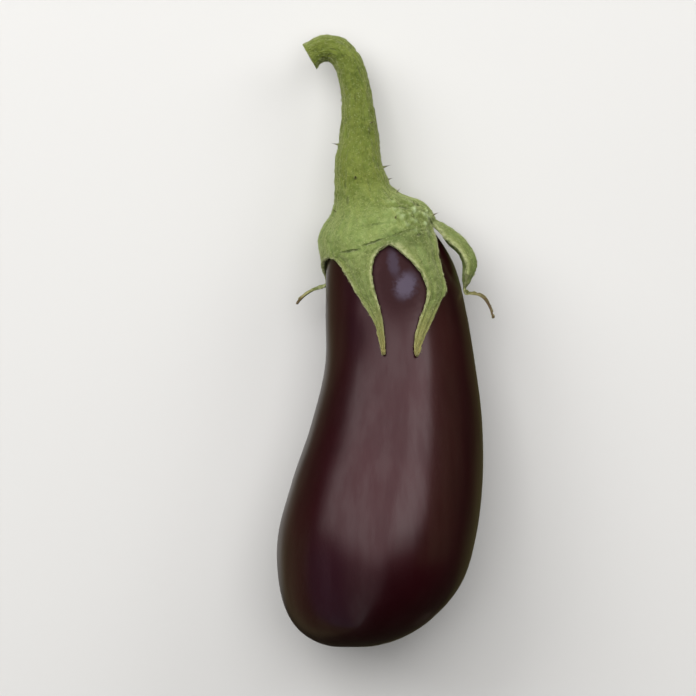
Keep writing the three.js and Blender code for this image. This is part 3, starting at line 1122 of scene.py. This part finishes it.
def make_fruit_material():
    finish = Finish("glossy purple skin")
    here = finish.place()
    along = finish.vector("MULTIPLY", here, (1, 0.12, 1))
    streaks = finish.patch_mask(along, scale=140, contrast=0.25)
    pores = finish.specks(here, scale=230, size=0.07, share=0.16)
    scuff = finish.mark(here, 19, 12.5, turn=28, half_length=8, half_width=3.4, ragged=6)
    # Duller skin between the front lobes, where painted shade also darkens the colour
    dull_and_shaded = finish.mark(here, 7.5, 157, turn=90, half_length=34, half_width=18, ragged=5)
    # A painted highlight: a pale lavender glint on the skin between the front lobes
    lavender_glint = finish.mark(here, 10.4, 151.5, turn=65, half_length=9, half_width=6.5, ragged=5)
    # A painted reflection: a faint bluish glint near the calyx, between the front lobes
    blue_glint = finish.mark(here, 5.2, 161, turn=98, half_length=8, half_width=3.4, ragged=3)
    scar = finish.attribute("scar")
    cork = finish.patches(here, (0.10, 0.055, 0.03), (0.22, 0.14, 0.08))
    dark, purple = (0.0125, 0.0009, 0.0024), (0.0180, 0.0009, 0.0028)
    colour = finish.painted(
        finish.patches(here, dark, purple, scale=24, contrast=0.22),
        (streaks, 0.35, (0.018, 0.0018, 0.0034)),
        (pores, 0.16, (0.09, 0.05, 0.045)),
        (scuff, 0.28, (0.10, 0.07, 0.05)),
        (dull_and_shaded, 0.6, (0.0060, 0.0018, 0.0016)),
        (finish.math("POWER", lavender_glint, 1.6), 0.42, (0.13, 0.12, 0.18)),
        (blue_glint, 0.2, (0.10, 0.10, 0.16)),
        (scar, 1.0, cork),
    )
    roughness = finish.plus(
        finish.between(streaks, 0.28, 0.33),
        finish.times(scuff, 0.12),
        finish.times(scar, 0.4),
        finish.times(dull_and_shaded, 0.36),
    )
    coat = finish.times(finish.between(dull_and_shaded, 0.45, 0.0), finish.between(streaks, 0.5, 1.4))
    return finish.apply({
        "Base Color": colour,
        "Roughness": roughness,
        "Coat Weight": coat,
        "Normal": finish.grain(along, coarse=120, fine=1500, height=0.05),
        "Specular Tint": (1.0, 0.62, 0.66),
        "IOR": 1.5,
        "Coat Roughness": 0.11,
        "Coat IOR": 1.45,
    })


def make_green_material():
    finish = Finish("fuzzy green calyx")
    here = finish.place()
    strand = finish.attribute("strand", "Vector")
    along = finish.parts(strand)["Z"]

    def along_growth(factors):
        return finish.vector("MULTIPLY", strand, factors)

    fibres = finish.patch_mask(along_growth((1, 1, 0.1)), scale=420, contrast=0.14)
    pale_fibres = finish.patch_mask(along_growth((-1, 1, 0.16)), scale=640, contrast=0.2)
    pale_fibres = finish.math("POWER", pale_fibres, 2.0)
    blotches = finish.patch_mask(here, scale=210, contrast=0.1)
    mottles = finish.patch_mask(here, scale=520, contrast=0.12)
    wander = finish.math("ABSOLUTE", finish.ripple(here, scale=170, detail=3, roughness=0.6))
    veins = finish.fade(wander, 0.0, 0.045)
    dashes = finish.specks(along_growth((1, 1, 0.45)), scale=330, size=0.36, share=0.16)
    # Crease lines, sunk by the bump below and painted darker as shade
    crease_and_shade = 0.0
    for x, height, turn, half_length, depth in CREASES:
        part = finish.mark(here, x, height, turn, half_length, CREASE_HALF_WIDTH, ragged=1)
        crease_and_shade = finish.math("MULTIPLY_ADD", part, float(depth), crease_and_shade)
    deep, fresh = (0.124, 0.182, 0.040), (0.210, 0.286, 0.084)
    colour = finish.painted(
        finish.patches(here, deep, fresh, scale=95, contrast=0.16),
        (fibres, 0.26, (0.095, 0.130, 0.018)),
        (pale_fibres, 0.45, (0.28, 0.32, 0.09)),
        (blotches, 0.35, (0.100, 0.138, 0.020)),
        (mottles, 0.35, (0.26, 0.32, 0.085)),
        (veins, 0.4, (0.31, 0.37, 0.13)),
        # Painted shade in the folds and valleys
        (finish.attribute("crevice_shade"), 0.42, (0.062, 0.086, 0.012)),
        # A painted highlight on the tops of the warts
        (finish.attribute("knob_highlight"), 0.85, (0.46, 0.57, 0.30)),
        (dashes, 0.6, (0.05, 0.065, 0.016)),
        (crease_and_shade, 0.8, (0.045, 0.065, 0.014)),
    )

    # The stalk is more olive than the crown and the lobes are darker, and painted shade darkens the
    # hollow above the arch
    hollow_shade = finish.mark(here, 8, 170, turn=15, half_length=17, half_width=7, ragged=8)
    for mask, factors in (
        (finish.step(along, 5 * MM, 30 * MM), (0.72, 0.70, 0.37)),
        (finish.fade(along, -8 * MM, 5 * MM), (0.82, 0.80, 0.82)),
        (finish.times(hollow_shade, 0.85), (0.60, 0.62, 0.58)),
    ):
        colour = finish.shaded(colour, mask, factors)

    # Paler flanks of the lobes, edges paler in themselves and with a painted highlight along them,
    # yellowed and dried tips, and the cut end with its ring
    beside = finish.math("ABSOLUTE", finish.attribute("across"))
    flank = finish.times(finish.step(beside, 0.5, 0.95), finish.attribute("lobe"))
    broken = finish.step(finish.noise(here, scale=700), 0.3, 0.6)
    drying = finish.times(finish.attribute("drying"), finish.between(mottles, 1.0, 0.8))
    ring = finish.step(finish.attribute("cut_ring"), 0.62, 0.8)
    pith = finish.patches(here, (0.42, 0.42, 0.20), (0.55, 0.53, 0.32), contrast=0.25)
    colour = finish.painted(
        colour,
        (flank, 0.35, (0.29, 0.32, 0.09)),
        (finish.times(finish.attribute("edge"), broken), 0.8, (0.46, 0.48, 0.24)),
        (finish.attribute("yellowing"), 0.8, (0.36, 0.295, 0.095)),
        (drying, 1.0, (0.09, 0.052, 0.024)),
        (finish.attribute("cut"), 1.0, finish.mix(ring, pith, (0.24, 0.27, 0.09))),
    )

    raised = finish.plus(finish.times(pale_fibres, 0.7), finish.times(veins, 0.4))
    sunk = finish.plus(finish.times(fibres, 0.6), dashes, finish.times(crease_and_shade, 2.5))
    relief = finish.out("ShaderNodeBump", {
        "Height": finish.minus(raised, sunk), "Distance": 0.3 * MM,
        "Normal": finish.grain(here, coarse=650, fine=2400, height=0.55),
    })
    return finish.apply({
        "Base Color": colour,
        "Roughness": finish.between(mottles, 0.68, 0.52),
        "Normal": relief,
        "Specular IOR Level": 0.3,
        "Sheen Weight": 0.45,
        "Sheen Roughness": 0.3,
        "Sheen Tint": (0.9, 0.95, 0.5),
    })


def make_prickle_material():
    finish = Finish("prickle browned at its tip")
    here = finish.place()
    green = finish.patches(here, (0.16, 0.19, 0.055), (0.24, 0.26, 0.10))
    brown = finish.step(finish.attribute("towards_tip"), 0.25, 0.55)
    return finish.apply({
        "Base Color": finish.mix(brown, green, (0.045, 0.022, 0.010)),
        "Normal": finish.grain(here, coarse=1500, fine=4000, height=0.08),
        "Roughness": 0.45,
    })


def make_fuzz_material():
    finish = Finish("pale hairs")
    tone = finish.patches(finish.place(), (0.22, 0.26, 0.08), (0.58, 0.61, 0.28), contrast=0.25)
    return finish.apply({"Base Color": tone, "Roughness": 0.6})


# Pieces

make_fruit(make_fruit_material())
calyx = make_calyx(make_green_material())
make_prickles(make_prickle_material())
make_fuzz(calyx, make_fuzz_material())


# Floor and light

FLOOR_HALF = 8

# What the glossy skin mirrors: a dim room with lit fields in it, in degrees from overhead across
# towards +X and along towards the stalk. Each is given by its left and right edge and their
# softness, its low and high end and their softness, how many degrees along its ends run aslant for
# each degree across, and its red, green and blue.
ROOM = (0.030, 0.024, 0.016)
FIELD_MEASURES = [
    "Left", "Right", "Left softness", "Right softness", "Low", "High", "End softness", "Slant",
]
FIELDS = [
    (-78, 11, 16, 4, -5, 120, 9, 0.35, (1.46, 1.44, 1.42)),
    (12.5, 50, 5, 8, 0, 120, 10, 0, (1.95, 1.95, 1.92)),
    (-29, 17, 13, 9, -120, 0, 12, 0, (0.34, 0.34, 0.35)),
    (-86, -29, 14, 13, -120, 10, 12, 0, (0.15, 0.15, 0.22)),
    (-150, -86, 15, 14, -120, 16, 14, 0, (0.13, 0.12, 0.06)),
    (-200, -146, 5, 12, -4, 60, 6, 0, (0.34, 0.34, 0.33)),
    (50, 96, 8, 22, -15, 120, 5, 0, (0.22, 0.18, 0.10)),
    (125, 200, 15, 5, -14, 120, 10, 0, (0.055, 0.055, 0.018)),
]

# Soft panels for the matt surfaces, which the glossy skin doesn't mirror: name, side that it stands
# on in degrees from +X towards +Y, tilt from overhead, distance and size in metres, and watts
PANELS = [
    ("soft_fill", 90, 15, 2.6, 2.4, 54),
    ("soft_key", 138, 52, 1.6, 1.2, 17),
    ("soft_side", 40, 60, 1.6, 1.0, 10),
]


def make_floor():
    mesh = bpy.data.meshes.new("pale_floor")
    low, high = -FLOOR_HALF, FLOOR_HALF
    corners = [(low, low, 0), (high, low, 0), (high, high, 0), (low, high, 0)]
    mesh.from_pydata(corners, [], [(0, 1, 2, 3)])
    paint = Finish("pale floor").apply({"Base Color": (0.72, 0.71, 0.69), "Roughness": 0.7})
    mesh.materials.append(paint)
    floor = place_object("pale_floor", mesh)
    floor.visible_glossy = False


def make_soft_field():
    tree, nodes, given, end = new_tree(
        "soft lit field",
        "ShaderNodeTree",
        {"number": ["Across", "Along", *FIELD_MEASURES]},
        {"number": ["Share"]},
    )
    across = given["Across"]
    along = nodes.math("MULTIPLY_ADD", across, given["Slant"], given["Along"])
    sides = []
    for value, edge_name, softness, below, above in (
        (across, "Left", "Left softness", 0.0, 1.0),
        (across, "Right", "Right softness", 1.0, 0.0),
        (along, "Low", "End softness", 0.0, 1.0),
        (along, "High", "End softness", 1.0, 0.0),
    ):
        low = nodes.minus(given[edge_name], given[softness])
        high = nodes.plus(given[edge_name], given[softness])
        sides.append(nodes.step(value, low, high, below, above))
    nodes.feed(end["Share"], nodes.times(*sides))
    return tree


def make_surroundings():
    world = bpy.data.worlds.new("soft boxes in a dim room")
    world.use_nodes = True
    nodes = Nodes(world.node_tree)
    field = make_soft_field()
    direction = nodes.parts(nodes.out("ShaderNodeTexCoord", output="Generated"))
    across = nodes.math("DIVIDE", nodes.math("ARCTAN2", direction["X"], direction["Z"]), DEGREE)
    along = nodes.math("DIVIDE", nodes.math("ARCSINE", direction["Y"]), DEGREE)
    colour = nodes.joined(*ROOM)
    for *measures, radiance in FIELDS:
        inputs = {"Across": across, "Along": along, **dict(zip(FIELD_MEASURES, measures))}
        share = nodes.out("ShaderNodeGroup", inputs, "Share", node_tree=field)
        lit = nodes.vector("SCALE", nodes.joined(*radiance), share)
        colour = nodes.vector("ADD", colour, lit)
    nodes.feed(world.node_tree.nodes["Background"].inputs["Color"], colour)
    bpy.context.scene.world = world
    world.cycles_visibility.diffuse = False


def make_panel(name, side, tilt, distance, size, power):
    light = bpy.data.lights.new(name, "AREA")
    light.size = size
    light.energy = power
    panel = place_object(name, light)
    aside, up = math.sin(tilt * DEGREE), math.cos(tilt * DEGREE)
    towards = (math.cos(side * DEGREE) * aside, math.sin(side * DEGREE) * aside, up)
    panel.location = [distance * part for part in towards]
    panel.rotation_euler = (0, tilt * DEGREE, side * DEGREE)
    panel.visible_camera = False
    panel.visible_glossy = False


make_floor()
make_surroundings()
for panel in PANELS:
    make_panel(*panel)
bpy.context.scene.view_settings.view_transform = "Standard"
